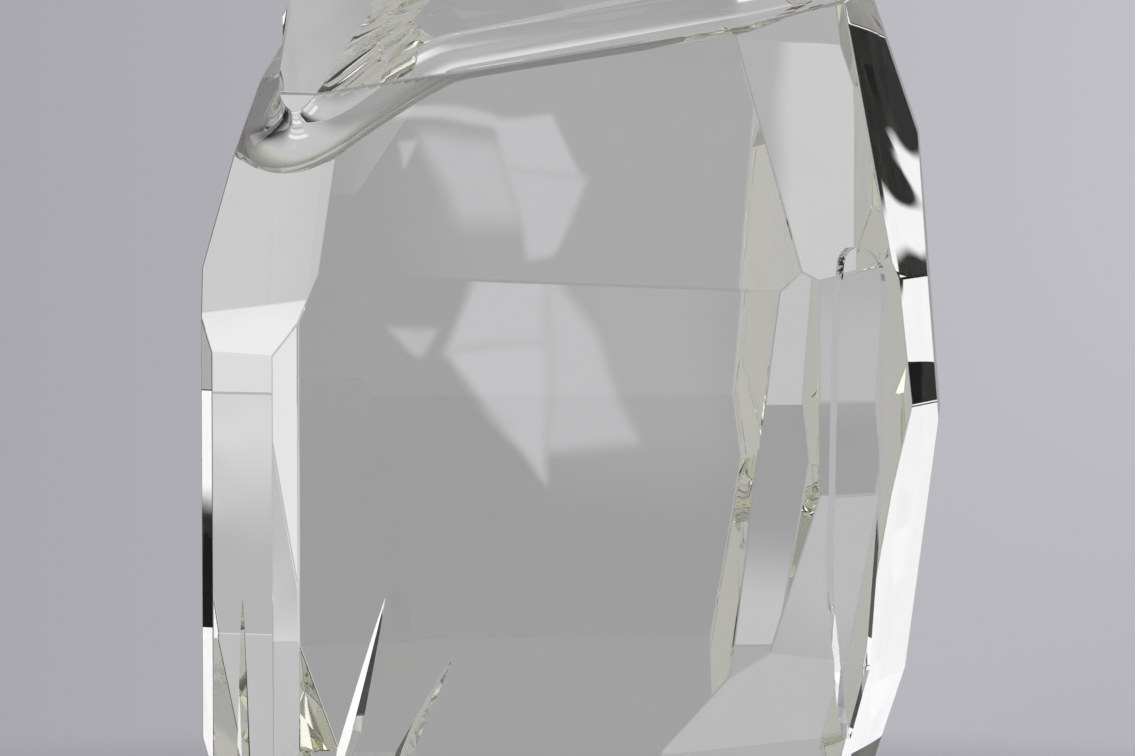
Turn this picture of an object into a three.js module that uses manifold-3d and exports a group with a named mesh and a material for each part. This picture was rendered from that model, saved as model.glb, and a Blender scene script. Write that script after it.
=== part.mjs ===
// Crystal owl sculpture: a solid faceted torso with a separate head, wings, tail, feet, ear tufts,
// beak and eyes, each ground flat where it meets its neighbour and bonded there.
// Millimetres, +Z up. The owl looks along -Y, its left side is +X, and the origin lies on the
// resting surface under the middle of the owl.
import * as THREE from "three";
import { mergeVertices } from "three/addons/utils/BufferGeometryUtils.js";
import { ConvexGeometry } from "three/addons/geometries/ConvexGeometry.js";
import Module from "manifold-3d";

const wasm = await Module();
wasm.setup();

// Bonded faces stand this far apart.
const BOND = 0.2;

// Torso: heights of the facet lines.
const NECK_HEIGHT = 122.5;
const NECK_SLOPE = 0.22;
const NAPE_LINE = 106;
const BACK_LINE = 100;
const SHOULDER_LINE = 87.5;
const SIDE_LINE = 85;
const SIDE_FRONT_LINE = 80.6;
const BREAST_LINE = 78;
const RIM_LINE = 71;
const WAIST_LINE = 68.5;
const RUMP_LINE = 60;
const HIP_LINE = 55;
const THIGH_LINE = 38;
const BACK_SKIRT_LINE = 34.7;
const FLANK_SKIRT_LINE = 27;
const SKIRT_LINE = 20;

// Torso: reaches from the upright axis to the main facets, and how far the others are set inside
// them or stand proud of them.
const BREAST_REACH = 59.8;
const CORNER_REACH = 58.17;
const FLANK_REACH = 48;
const SIDE_REACH = 56.6;
const SIDE_FRONT_SET = 3.15;
const SIDE_UPPER_SET = 7;
const SIDE_LOWER_SET = 1.3;
const SIDE_FOOT_SET = 3.8;
const SIDE_REAR_SET = 0.3;
const SIDE_REAR_UPPER_SET = 6.3;
const SIDE_REAR_FOOT_SET = 5.1;
const BACK_FLANK_REACH = 50.7;
const BACK_FLANK_UPPER_SET = 3;
const BACK_FLANK_FOOT_SET = 4.4;
const BACK_RIDGE_PROUD = 0.26;
const BACK_REACH = 52.2;

// Rolled groove round the collar: radius, depth, height above the neck seam, how far it dips at
// the breast, how shallow it is there and over what span, and where it runs out.
const GROOVE_RADIUS = 8;
const GROOVE_DEPTH = 3;
const GROOVE_RISE = 7.5;
const GROOVE_DIP = 10;
const GROOVE_DIP_DEPTH = 0.3;
const GROOVE_DIP_SPAN = 20;
const GROOVE_SPAN = 70;
const GROOVE_RUN_OUT = 25;

// Mitre cuts that mark the lower breast feathers.
const MITRE_WIDTH = 4.5;
const MITRE_DEPTH = 4;
const MITRE_TOP = 47;
const MITRE_FOOT = 9;

// Head: heights above the neck seat, and reaches from the axis.
const COLLAR_LEAN = 26;
const JAW_RISE = 21;
const EYE_RISE = 40;
const BROW_RISE = 56;
const TEMPLE_RISE = 54;
const NAPE_RISE = 52;
const NAPE_JAW_RISE = 23;
const CROWN_RISE = 66;
const FACE_AZIMUTH = 28;
const FACE_REACH = 44;
const TEMPLE_REACH = 46;
const NAPE_REACH = 42;

// Eyes: a shallow bowl, a flat-bottomed socket in it, a domed lens and a pupil under the lens.
const BOWL_DIAMETER = 34;
const BOWL_DEPTH = 3.5;
const EYE_OFFSET = 2;
const LENS_DIAMETER = 21;
const SOCKET_DEPTH = 3;
const LENS_DOME = 5;
const PUPIL_DIAMETER = 10;
const PUPIL_THICKNESS = 1.6;
const EYE_CLEARANCE = 0.25;

// Beak, on a flat ground across the ridge between the two face facets.
const BEAK_RISE = 42;
const BEAK_WIDTH = 12;
const BEAK_HEIGHT = 24;
const BEAK_PROUD = 11;
const BEAK_FLAT = 3.4;

// Ear tufts, on flats ground over the corners of the crown.
const TUFT_AZIMUTH = 54;
const TUFT_LEAN = 48;
const TUFT_REACH = 36;
const TUFT_RISE = 61;
const TUFT_WIDTH = 16;
const TUFT_LENGTH = 21;

// Wings: slim blades bonded flat to the side facets.
const WING_THICKNESS = 1.6;
const WING_TOP = 92;
const WING_TIP = 27;
const WING_FRONT = 4.8;
const WING_BACK = 12.2;

// Tail: a low wedge behind, held just off the table.
const TAIL_TOP = 15;
const TAIL_WIDTH = 38;
const TAIL_PROUD = 11.3;
const TAIL_LENGTH = 33;
const TAIL_LEAN = 62;
const TAIL_EDGE = 4;
const TABLE_CLEARANCE = 1;

// Feet: each points out from the middle, and slopes down to its toes.
const FOOT_AZIMUTH = 19;
const FOOT_WIDTH = 25;
const FOOT_HEIGHT = 15;
const FOOT_PROUD = 4.7;
const FOOT_LEAN = 40;
const TOE_HEIGHT = 5;
const TOE_CHAMFER = 3;

const SEGMENTS = 40;
const GROOVE_STEPS = 24;
const FAR = 400;

const rad = THREE.MathUtils.degToRad;
const tan = (degrees) => Math.tan(rad(degrees));

// A facet is a plane whose outward normal points to an azimuth (0 is the owl's front, 90 its left
// side) and leans up from level. It passes at a reach from the axis at a height.
function facet(azimuth, reach, height, lean) {
  return { azimuth, reach, height, lean };
}

function facetFrame({ azimuth, reach, height, lean }) {
  const a = rad(azimuth);
  const l = rad(lean);
  const normal = new THREE.Vector3(Math.cos(l) * Math.sin(a), -Math.cos(l) * Math.cos(a), Math.sin(l));
  const across = new THREE.Vector3(Math.cos(a), Math.sin(a), 0);
  const up = new THREE.Vector3().crossVectors(normal, across);
  const point = new THREE.Vector3(reach * Math.sin(a), -reach * Math.cos(a), height);
  return { normal, across, up, point };
}

// Facets off the middle plane come in left and right pairs.
function paired(facets) {
  const twins = facets.filter((f) => f.azimuth % 180 !== 0);
  return [...facets, ...twins.map((f) => ({ ...f, azimuth: -f.azimuth }))];
}

function toSolid(geometry) {
  const bare = geometry.clone();
  for (const name of Object.keys(bare.attributes)) {
    if (name !== "position") {
      bare.deleteAttribute(name);
    }
  }
  const welded = mergeVertices(bare, 1e-5);
  const mesh = new wasm.Mesh({
    numProp: 3,
    vertProperties: new Float32Array(welded.attributes.position.array),
    triVerts: new Uint32Array(welded.index.array),
  });
  return new wasm.Manifold(mesh);
}

function toGeometry(solid) {
  const mesh = solid.getMesh();
  const geometry = new THREE.BufferGeometry();
  geometry.setAttribute("position", new THREE.BufferAttribute(new Float32Array(mesh.vertProperties), 3));
  geometry.setIndex(new THREE.BufferAttribute(new Uint32Array(mesh.triVerts), 1));
  return geometry;
}

// Moves a geometry built with x across, y up the facet and z out of it onto a place on the facet.
function onto(geometry, { across, up, normal, point }, x = 0, y = 0) {
  const place = point.clone().addScaledVector(across, x).addScaledVector(up, y);
  const matrix = new THREE.Matrix4().makeBasis(across, up, normal).setPosition(place);
  return geometry.clone().applyMatrix4(matrix);
}

// Everything beyond a plane, moved out by grow.
function beyond(frame, grow = 0) {
  const block = new THREE.BoxGeometry(2 * FAR, 2 * FAR, FAR);
  block.translate(0, 0, FAR / 2 + grow);
  return toSolid(onto(block, frame));
}

function ground(blank, frames, grow = 0) {
  return frames.reduce((solid, frame) => solid.subtract(beyond(frame, grow)), blank);
}

function block(x0, x1, y0, y1, z0, z1) {
  const box = new THREE.BoxGeometry(x1 - x0, y1 - y0, z1 - z0);
  return toSolid(box.translate((x0 + x1) / 2, (y0 + y1) / 2, (z0 + z1) / 2));
}

// A cut may leave loose crumbs of glass: only the piece itself is kept.
function withoutCrumbs(solid) {
  return solid.decompose().reduce((a, b) => (a.volume() > b.volume() ? a : b));
}

function mirrored(solid) {
  const geometry = toGeometry(solid);
  geometry.scale(-1, 1, 1);
  const index = geometry.index.array;
  for (let i = 0; i < index.length; i += 3) {
    [index[i], index[i + 1]] = [index[i + 1], index[i]];
  }
  return toSolid(geometry);
}

// A V-shaped wheel cut on a facet, from nothing at its tip to full width and depth at its foot.
function mitre(frame, tip, foot, width, depth) {
  const [x0, y0] = tip;
  const [x1, y1] = foot;
  const points = [
    new THREE.Vector3(x0, y0, 0),
    new THREE.Vector3(x1 - width / 2, y1, 0),
    new THREE.Vector3(x1 + width / 2, y1, 0),
    new THREE.Vector3(x1, y1, -depth),
    new THREE.Vector3(x0, y0, depth),
    new THREE.Vector3(x1 - width / 2, y1, depth),
    new THREE.Vector3(x1 + width / 2, y1, depth),
  ];
  return toSolid(onto(new ConvexGeometry(points), frame));
}

function cylinder(radius, z0, z1) {
  const geometry = new THREE.CylinderGeometry(radius, radius, z1 - z0, SEGMENTS);
  return geometry.rotateX(Math.PI / 2).translate(0, 0, (z0 + z1) / 2);
}

function turned(profile) {
  const points = profile.map(([r, z]) => new THREE.Vector2(r, z));
  return new THREE.LatheGeometry(points, SEGMENTS).rotateX(Math.PI / 2);
}

// Points of a circular arc that rises by sag from the axis out to a half chord.
function arc(half, sag, steps) {
  const radius = (half * half + sag * sag) / (2 * sag);
  const sweep = Math.asin(half / radius);
  const at = (k) => [radius * Math.sin((k / steps) * sweep), radius * (1 - Math.cos((k / steps) * sweep))];
  return Array.from({ length: steps + 1 }, (_, k) => at(k));
}

// Torso facets, from the neck down, going round from the breast to the back.
const breastUpper = facet(0, BREAST_REACH, BREAST_LINE, 16.5);
const shoulder = facet(45.6, FLANK_REACH, SHOULDER_LINE, 15.5);
const sideUpper = facet(73, SIDE_REACH - SIDE_UPPER_SET, NAPE_LINE, 20.3);
const breast = facet(0, BREAST_REACH, BREAST_LINE, 0);
const flank = facet(45, FLANK_REACH, SHOULDER_LINE, 0);
const side = facet(77, SIDE_REACH, SIDE_LINE, -1.6);
const sideLower = facet(77, SIDE_REACH - SIDE_LOWER_SET, HIP_LINE, -7);
const sideFoot = facet(74, SIDE_REACH - SIDE_FOOT_SET, THIGH_LINE, -24);

const SIDE_REAR_REACH = SIDE_REACH - SIDE_REAR_SET;
const BACK_RIDGE_REACH = BACK_FLANK_REACH + BACK_RIDGE_PROUD;

const NECK_FACETS = [
  breastUpper,
  shoulder,
  sideUpper,
  facet(112, SIDE_REAR_REACH - SIDE_REAR_UPPER_SET, NAPE_LINE, 16),
  facet(131, BACK_RIDGE_REACH - BACK_FLANK_UPPER_SET, NAPE_LINE, 19),
  facet(135, BACK_FLANK_REACH - BACK_FLANK_UPPER_SET, NAPE_LINE, 19),
  facet(180, BACK_REACH, BACK_LINE, 14),
];
const BODY_FACETS = [
  breast,
  facet(20, CORNER_REACH, BREAST_LINE, 0),
  flank,
  facet(61, SIDE_REACH - SIDE_FRONT_SET, SIDE_FRONT_LINE, -2),
  side,
  facet(112, SIDE_REAR_REACH, RIM_LINE, 3.6),
  facet(131, BACK_RIDGE_REACH, WAIST_LINE, 4.6),
  facet(135, BACK_FLANK_REACH, WAIST_LINE, 4.6),
  facet(180, BACK_REACH, WAIST_LINE, 0),
  facet(0, BREAST_REACH, SKIRT_LINE, -25),
  facet(45, FLANK_REACH, FLANK_SKIRT_LINE, -20),
  sideLower,
  sideFoot,
  facet(112, SIDE_REAR_REACH, RIM_LINE, -10),
  facet(112, SIDE_REAR_REACH - SIDE_REAR_FOOT_SET, THIGH_LINE, -20),
  facet(131, BACK_RIDGE_REACH, WAIST_LINE, -7.4),
  facet(131, BACK_RIDGE_REACH - BACK_FLANK_FOOT_SET, BACK_SKIRT_LINE, -18),
  facet(135, BACK_FLANK_REACH, WAIST_LINE, -7.4),
  facet(135, BACK_FLANK_REACH - BACK_FLANK_FOOT_SET, BACK_SKIRT_LINE, -18),
  facet(180, BACK_REACH, RUMP_LINE, -12),
];
const torsoFrames = paired([...NECK_FACETS, ...BODY_FACETS]).map(facetFrame);

const neckFrame = facetFrame({ azimuth: 0, reach: 0, height: NECK_HEIGHT, lean: 0 });
neckFrame.normal.set(0, -NECK_SLOPE, 1).normalize();
neckFrame.up.crossVectors(neckFrame.normal, neckFrame.across);

function uncut(grow) {
  const size = 2 * Math.max(BREAST_REACH, SIDE_REACH, BACK_REACH) + 4 * grow + 40;
  const tall = NECK_HEIGHT + size / 2;
  return block(-size / 2, size / 2, -size / 2, size / 2, -grow, tall);
}

// The faceted body without its cuts. Grown, it is the seat that the bonded pieces are ground to.
function torsoBlank(grow) {
  return ground(uncut(grow), torsoFrames, grow);
}

// Where the neck seam runs at an azimuth: the nearest facet met in the plane of the seat.
function seamRadius(azimuth) {
  const a = rad(azimuth);
  const way = new THREE.Vector3(Math.sin(a), -Math.cos(a), -NECK_SLOPE * Math.cos(a));
  const start = new THREE.Vector3(0, 0, NECK_HEIGHT);
  const radii = torsoFrames
    .filter(({ normal }) => normal.dot(way) > 0)
    .map(({ normal, point }) => normal.dot(point.clone().sub(start)) / normal.dot(way));
  return Math.min(...radii);
}

// The wheel path of the groove: lowest at the breast, and clear of the glass past its span.
function groovePath() {
  const points = [];
  for (let step = -GROOVE_STEPS; step <= GROOVE_STEPS; step += 1) {
    const azimuth = (step / GROOVE_STEPS) * (GROOVE_SPAN + GROOVE_RUN_OUT);
    const round = Math.abs(azimuth);
    const dip = 1 - THREE.MathUtils.smoothstep(round, 0, GROOVE_DIP_SPAN);
    const leave = THREE.MathUtils.smoothstep(round, GROOVE_SPAN, GROOVE_SPAN + GROOVE_RUN_OUT);
    const rise = GROOVE_RISE - GROOVE_DIP * dip;
    const depth = GROOVE_DEPTH * (1 - 1.3 * leave) - (GROOVE_DEPTH - GROOVE_DIP_DEPTH) * dip;
    const a = rad(azimuth);
    const seam = seamRadius(azimuth);
    const r = seam - rise * tan(COLLAR_LEAN) + GROOVE_RADIUS - depth;
    const z = NECK_HEIGHT - NECK_SLOPE * seam * Math.cos(a) + rise;
    points.push(new THREE.Vector3(r * Math.sin(a), -r * Math.cos(a), z));
  }
  return new THREE.CatmullRomCurve3(points);
}

function grooveTool() {
  const section = new THREE.Shape();
  section.absarc(0, 0, GROOVE_RADIUS, 0, 2 * Math.PI);
  const options = { extrudePath: groovePath(), steps: 72, bevelEnabled: false, curveSegments: 32 };
  return toSolid(new THREE.ExtrudeGeometry(section, options));
}

// Feather cuts: one down the middle of the breast, and two on each flank that lean in as they rise.
function featherCuts() {
  const breastFrame = facetFrame({ ...breast, height: 0 });
  const flankFrame = facetFrame({ ...flank, height: 0 });
  const middle = mitre(breastFrame, [0, MITRE_TOP], [0, MITRE_FOOT], MITRE_WIDTH * 0.8, MITRE_DEPTH);
  const cuts = [
    mitre(flankFrame, [-23.5, MITRE_TOP], [-33, MITRE_FOOT], MITRE_WIDTH, MITRE_DEPTH),
    mitre(flankFrame, [-14.5, MITRE_TOP - 7], [-30, MITRE_FOOT], MITRE_WIDTH, MITRE_DEPTH),
  ];
  return [middle, ...cuts, ...cuts.map(mirrored)];
}

const groove = grooveTool();

function makeTorso() {
  const body = ground(torsoBlank(0), [neckFrame]);
  return featherCuts().reduce((solid, cut) => solid.subtract(cut), body.subtract(groove));
}

// Head: a leaning collar that continues the neck outline, under a wider faceted block.
function collarFacet(base) {
  const { azimuth, reach, height, lean } = base;
  const slope = NECK_SLOPE * Math.cos(rad(azimuth));
  const seam = (reach - tan(lean) * (NECK_HEIGHT - height)) / (1 - tan(lean) * slope);
  return facet(azimuth, seam, NECK_HEIGHT - slope * seam, COLLAR_LEAN);
}

const JAW = NECK_HEIGHT + JAW_RISE;
const BROW = NECK_HEIGHT + BROW_RISE;
const face = facet(FACE_AZIMUTH, FACE_REACH, NECK_HEIGHT + EYE_RISE, 0);
const faceFrame = facetFrame(face);
const tuftSeat = facet(TUFT_AZIMUTH, TUFT_REACH, NECK_HEIGHT + TUFT_RISE, TUFT_LEAN);
const tuftFrame = facetFrame(tuftSeat);
const HEAD_FACETS = [
  face,
  facet(80, TEMPLE_REACH, BROW, 0),
  facet(130, NAPE_REACH, BROW, 0),
  facet(180, NAPE_REACH, BROW, 0),
  facet(FACE_AZIMUTH, FACE_REACH, BROW, 40),
  facet(80, TEMPLE_REACH, NECK_HEIGHT + TEMPLE_RISE, 45),
  facet(130, NAPE_REACH, NECK_HEIGHT + NAPE_RISE, 42),
  facet(180, NAPE_REACH, NECK_HEIGHT + NAPE_RISE, 42),
  facet(FACE_AZIMUTH, FACE_REACH, JAW, -50),
  facet(80, TEMPLE_REACH, JAW, -50),
  facet(130, NAPE_REACH, JAW, -48),
  facet(180, NAPE_REACH, NECK_HEIGHT + NAPE_JAW_RISE, -48),
  tuftSeat,
];

// The ridge between the face facets, and the flat ground across it for the beak.
const RIDGE = FACE_REACH / Math.cos(rad(FACE_AZIMUTH));
const BEAK_SEAT = RIDGE - BEAK_FLAT;
const BEAK_TOP = NECK_HEIGHT + BEAK_RISE;

function eyeSocket() {
  const half = BOWL_DIAMETER / 2;
  const bowl = arc(half, BOWL_DEPTH, 8).map(([r, z]) => [r, z - BOWL_DEPTH]);
  const tool = turned([...bowl, [half, BOWL_DEPTH], [0, BOWL_DEPTH]]);
  const socket = cylinder(LENS_DIAMETER / 2 + EYE_CLEARANCE, -BOWL_DEPTH - SOCKET_DEPTH, 0);
  const cut = toSolid(onto(tool, faceFrame, EYE_OFFSET));
  return cut.add(toSolid(onto(socket, faceFrame, EYE_OFFSET)));
}

function makeHead() {
  const size = 4 * Math.max(FACE_REACH, TEMPLE_REACH, NAPE_REACH);
  const top = NECK_HEIGHT + CROWN_RISE;
  const span = [-size / 2, size / 2, -size / 2, size / 2];
  const collarFrames = paired(NECK_FACETS.map(collarFacet)).map(facetFrame);
  const under = new THREE.BoxGeometry(2 * FAR, 2 * FAR, FAR).translate(0, 0, BOND - FAR / 2);
  const collar = ground(block(...span, 0, JAW), collarFrames);
  const skull = ground(block(...span, NECK_HEIGHT, top), paired(HEAD_FACETS).map(facetFrame));
  const half = BEAK_WIDTH;
  const flat = block(-half, half, -size / 2, -BEAK_SEAT, BEAK_TOP - BEAK_HEIGHT - 1, BEAK_TOP + 1);
  const socket = eyeSocket();
  const seated = collar.add(skull).subtract(toSolid(onto(under, neckFrame)));
  return [groove, flat, socket, mirrored(socket)].reduce((solid, cut) => solid.subtract(cut), seated);
}

// Lens with a domed front, seated in its socket, and hollowed behind for the pupil.
function makeLens() {
  const r = LENS_DIAMETER / 2;
  const floor = BOND - BOWL_DEPTH - SOCKET_DEPTH;
  const dome = arc(r, LENS_DOME, 8).map(([x, z]) => [x, LENS_DOME - BOWL_DEPTH - z]).reverse();
  const body = toSolid(onto(turned([[0, floor], [r, floor], ...dome]), faceFrame, EYE_OFFSET));
  const hollow = cylinder(PUPIL_DIAMETER / 2 + EYE_CLEARANCE, floor - 1, floor + PUPIL_THICKNESS + BOND);
  return body.subtract(toSolid(onto(hollow, faceFrame, EYE_OFFSET)));
}

function makePupil() {
  const floor = BOND - BOWL_DEPTH - SOCKET_DEPTH;
  return toSolid(onto(cylinder(PUPIL_DIAMETER / 2, floor, floor + PUPIL_THICKNESS), faceFrame, EYE_OFFSET));
}

function makeBeak() {
  const back = -BEAK_SEAT - BOND;
  const half = BEAK_WIDTH / 2;
  const at = (x, proud, drop) => new THREE.Vector3(x, back - proud, BEAK_TOP - drop * BEAK_HEIGHT);
  const points = [
    at(0, 0, 0),
    at(-half, 0, 0.34),
    at(half, 0, 0.34),
    at(-half * 0.5, 0, 0.8),
    at(half * 0.5, 0, 0.8),
    at(0, 0, 0.92),
    at(0, BEAK_PROUD * 0.8, 0.36),
    at(0, BEAK_PROUD, 0.66),
    at(0, BEAK_PROUD * 0.86, 1),
  ];
  return toSolid(new ConvexGeometry(points));
}

function makeTuft() {
  const w = TUFT_WIDTH / 2;
  const at = (x, y, z) => new THREE.Vector3(x, y, z + BOND);
  const points = [
    at(-w, -w * 0.9, 0),
    at(w, -w * 0.9, 0),
    at(-w * 0.8, w, 0),
    at(w * 0.8, w, 0),
    at(-w * 0.9, -w * 0.5, TUFT_LENGTH * 0.3),
    at(w * 0.9, -w * 0.5, TUFT_LENGTH * 0.3),
    at(w * 0.3, TUFT_LENGTH * 0.62, TUFT_LENGTH * 0.8),
  ];
  return toSolid(onto(new ConvexGeometry(points), tuftFrame, 0, -1));
}

// Blade outline of a wing, across and up its side: round at the top, and down to a tip at the back.
function wingOutline() {
  const tall = WING_TOP - WING_TIP;
  const middle = (WING_FRONT + WING_BACK) / 2;
  const outline = new THREE.Shape();
  outline.moveTo(WING_BACK, WING_TIP);
  outline.lineTo(WING_BACK, WING_TOP - tall * 0.12);
  outline.quadraticCurveTo(WING_BACK, WING_TOP, middle, WING_TOP);
  outline.quadraticCurveTo(WING_FRONT, WING_TOP, WING_FRONT, WING_TOP - tall * 0.14);
  outline.lineTo(WING_FRONT, WING_TIP + tall * 0.5);
  outline.quadraticCurveTo(WING_FRONT, WING_TIP + tall * 0.2, WING_BACK, WING_TIP);
  return outline;
}

function makeWing(body) {
  const options = { depth: FAR, bevelEnabled: false, curveSegments: 12 };
  const prism = new THREE.ExtrudeGeometry(wingOutline(), options);
  const frame = facetFrame({ ...side, reach: SIDE_REACH / 2, height: 0, lean: 0 });
  const sides = [sideUpper, side, sideLower, sideFoot].map(facetFrame);
  const outer = ground(uncut(BOND + WING_THICKNESS), sides, BOND + WING_THICKNESS);
  return toSolid(onto(prism, frame)).intersect(outer).subtract(body);
}

// Tail: a wedge under the back, sloped down to a thin rear edge, with two feather cuts.
function makeTail(inner) {
  const reach = BACK_REACH + TAIL_PROUD;
  const half = TAIL_WIDTH / 2;
  const slope = facet(180, reach, TABLE_CLEARANCE + TAIL_EDGE, TAIL_LEAN);
  const sides = facet(104, half + reach * Math.sin(rad(14)), 0, 20);
  const blank = block(-half * 2, half * 2, reach - TAIL_LENGTH, reach, TABLE_CLEARANCE, TAIL_TOP);
  const shaped = ground(blank, paired([slope, sides]).map(facetFrame));
  const frame = facetFrame(slope);
  const cut = mitre(frame, [half * 0.2, TAIL_TOP * 1.6], [half * 0.36, -3], MITRE_WIDTH, MITRE_DEPTH);
  return shaped.subtract(inner).subtract(cut).subtract(mirrored(cut));
}

// Foot: a sloped wedge under the breast, split into three toes by two cuts.
function makeFoot(inner) {
  const reach = BREAST_REACH + FOOT_PROUD;
  const half = FOOT_WIDTH / 2;
  const corner = reach * Math.cos(rad(45)) + half * Math.sin(rad(45)) - TOE_CHAMFER;
  const slope = facet(FOOT_AZIMUTH, reach, TOE_HEIGHT, FOOT_LEAN);
  const facets = [
    slope,
    facet(FOOT_AZIMUTH, reach, 0, 0),
    facet(FOOT_AZIMUTH - 45, corner, 0, FOOT_LEAN / 2),
    facet(FOOT_AZIMUTH + 45, corner, 0, FOOT_LEAN / 2),
    facet(FOOT_AZIMUTH - 90, half, 0, FOOT_LEAN / 2),
    facet(FOOT_AZIMUTH + 90, half, 0, FOOT_LEAN / 2),
    facet(FOOT_AZIMUTH + 180, -reach / 2, 0, 0),
  ];
  const blank = block(-2 * reach, 2 * reach, -2 * reach, 2 * reach, 0, FOOT_HEIGHT);
  const shaped = ground(blank, facets.map(facetFrame)).subtract(inner);
  const toes = [-half / 3, half / 3].map((x) =>
    mitre(facetFrame(slope), [x * 0.7, FOOT_HEIGHT], [x * 1.2, -TOE_HEIGHT], MITRE_WIDTH, MITRE_DEPTH),
  );
  return toes.reduce((solid, cut) => solid.subtract(cut), shaped);
}

const seat = torsoBlank(BOND);
const lens = makeLens();
const pupil = makePupil();
const tuft = makeTuft();
const wing = makeWing(seat);
const foot = makeFoot(seat);

const crystal = new THREE.MeshStandardMaterial({
  color: 0xe4e6e8,
  roughness: 0.03,
  metalness: 0,
  transparent: true,
  opacity: 0.45,
  flatShading: true,
});
const jet = new THREE.MeshStandardMaterial({
  color: 0x0a0a0c,
  roughness: 0.08,
  metalness: 0,
  flatShading: true,
});

const owl = new THREE.Group();
owl.name = "crystal_owl";

function put(name, solid, material) {
  const mesh = new THREE.Mesh(toGeometry(withoutCrumbs(solid)), material);
  mesh.name = name;
  owl.add(mesh);
}

function putPair(name, solid, material) {
  put(`left_${name}`, solid, material);
  put(`right_${name}`, mirrored(solid), material);
}

put("torso", makeTorso(), crystal);
put("head", makeHead(), crystal);
put("beak", makeBeak(), crystal);
put("tail", makeTail(seat), crystal);
putPair("wing", wing, crystal);
putPair("foot", foot, crystal);
putPair("ear_tuft", tuft, crystal);
putPair("eye_lens", lens, crystal);
putPair("pupil", pupil, jet);

export default owl;
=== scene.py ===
"""Crystal owl sculpture: cut and polished glass pieces over their solids, on a pale sweep."""

import math

import bmesh
import bpy
from bpy.props import FloatProperty, FloatVectorProperty, PointerProperty
from bpy.types import Operator, Panel, PropertyGroup
from mathutils import Matrix, Vector


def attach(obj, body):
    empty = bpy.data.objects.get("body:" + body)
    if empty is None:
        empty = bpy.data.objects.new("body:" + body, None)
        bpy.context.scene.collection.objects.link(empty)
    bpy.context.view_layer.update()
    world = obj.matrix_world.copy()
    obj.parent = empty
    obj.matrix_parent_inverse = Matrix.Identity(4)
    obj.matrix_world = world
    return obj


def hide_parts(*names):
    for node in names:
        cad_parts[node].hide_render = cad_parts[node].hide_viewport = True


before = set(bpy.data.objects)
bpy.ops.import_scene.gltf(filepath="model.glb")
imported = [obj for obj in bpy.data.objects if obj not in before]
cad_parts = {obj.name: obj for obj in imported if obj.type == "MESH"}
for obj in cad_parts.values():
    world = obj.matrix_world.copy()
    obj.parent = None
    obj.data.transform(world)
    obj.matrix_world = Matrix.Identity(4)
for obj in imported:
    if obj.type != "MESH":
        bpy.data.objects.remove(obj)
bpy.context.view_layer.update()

bl_info = {
    "name": "Crystal owl sculpture",
    "version": (1, 0, 0),
    "blender": (4, 5, 0),
    "location": "View3D > Sidebar > Owl",
    "description": "Cuts, polishes and lights the crystal pieces of an owl sculpture",
    "category": "Object",
}

MM = 0.001
HALF_TURN = 180
BODY = "root"
SIDES = ("left", "right")

# The photograph's frame, and the camera that took it: where it aims, how far off and how wide.
IMAGE_WIDTH = 1135
AIM = Vector((0.0, 0.0, 0.072))
CAMERA_AZIMUTH = math.radians(45)
CAMERA_HEIGHT = math.radians(4)
CAMERA_DISTANCE = 0.8
PIXELS_PER_MM = 7.3
SENSOR = 36.0

# The sloping bond between torso and head, the lean of the collar above it, the height above which
# only the skull is left, and the top of the jaw.
NECK_HEIGHT = 122.5 * MM
NECK_SLOPE = 0.22
NECK_MIDDLE = Vector((0, 0, NECK_HEIGHT))
COLLAR_LEAN = math.radians(26)
SKULL_HEIGHT = 139.8 * MM
JAW_HEIGHT = 143.5 * MM
BOND = 0.2 * MM

# Facets at the neck, by the rise of their normals: those under the collar, and the limit above
# which a plane is the seam itself. A way meets only planes that face it by more than the last.
COLLAR_RISE = (0.15, 0.5)
FACET_RISE = 0.9
LEAST_FACING = 0.05

# The groove's tool: roundness of its section, points on each side of the breast, steps between two
# points, order of its curve, and how many depths it backs off at its ends.
GROOVE_ROUND = 110
GROOVE_POINTS = 24
GROOVE_STEPS = 8
GROOVE_ORDER = 4
GROOVE_LEAVE = 1.3

# Feather cuts: azimuth in degrees and reach of the facet, tip and foot on it, in millimetres, and
# share of the full width.
FEATHERS = (
    (0, 59.8, (0, 47), (0, 9), 0.8),
    (45, 48, (-23.5, 47), (-33, 9), 1.0),
    (45, 48, (-14.5, 40), (-30, 9), 1.0),
    (-45, 48, (23.5, 47), (33, 9), 1.0),
    (-45, 48, (14.5, 40), (30, 9), 1.0),
)

# How a feather cut swells: shares of its length that get a section, and the power of its growth.
MITRE_SHARES = (0.0, 0.12, 0.3, 0.6, 1.0)
MITRE_SWELL = 0.8

# Eyes, in depth from the face facet: bowl, socket, lens and pupil.
BOWL_RADIUS = 17 * MM
BOWL_DEPTH = 3.5 * MM
SOCKET_RADIUS = 10.75 * MM
SOCKET_FLOOR = -6.5 * MM
LENS_RADIUS = 10.5 * MM
LENS_DOME = 5 * MM
HOLLOW_RADIUS = 5.25 * MM
HOLLOW_DEPTH = 1.8 * MM
PUPIL_RADIUS = 5 * MM
PUPIL_DEPTH = 1.6 * MM

# Lathe work on the eyes: steps of a full turn and of an arc, and the angle that stays an edge.
TURN_STEPS = 96
ARC_STEPS = 24
TURN_EDGE = math.radians(25)

# The block that grinds the seat of the beak: its depth, and its room above and below the beak.
FLAT_DEPTH = 100 * MM
FLAT_ROOM = 1 * MM

# Tolerances: distances at which points merge, room of a piece over its solid, least area of a
# facet, how flat and how parallel it is, and the angles that count as flat and as its edge.
FINE_WELD = 1e-7
WELD = 1e-6
SLIVER = 2e-6
FIT_ROOM = 0.1 * MM
LEAST_FACET = 3e-6
FLATNESS = 2e-5
PARALLEL = 0.99999
FLAT_ANGLE = math.radians(0.3)
FACET_EDGE = math.radians(3)
BONDED_EDGE = math.radians(12)

# Steps across the polished band of an edge.
EDGE_STEPS = 2

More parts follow.
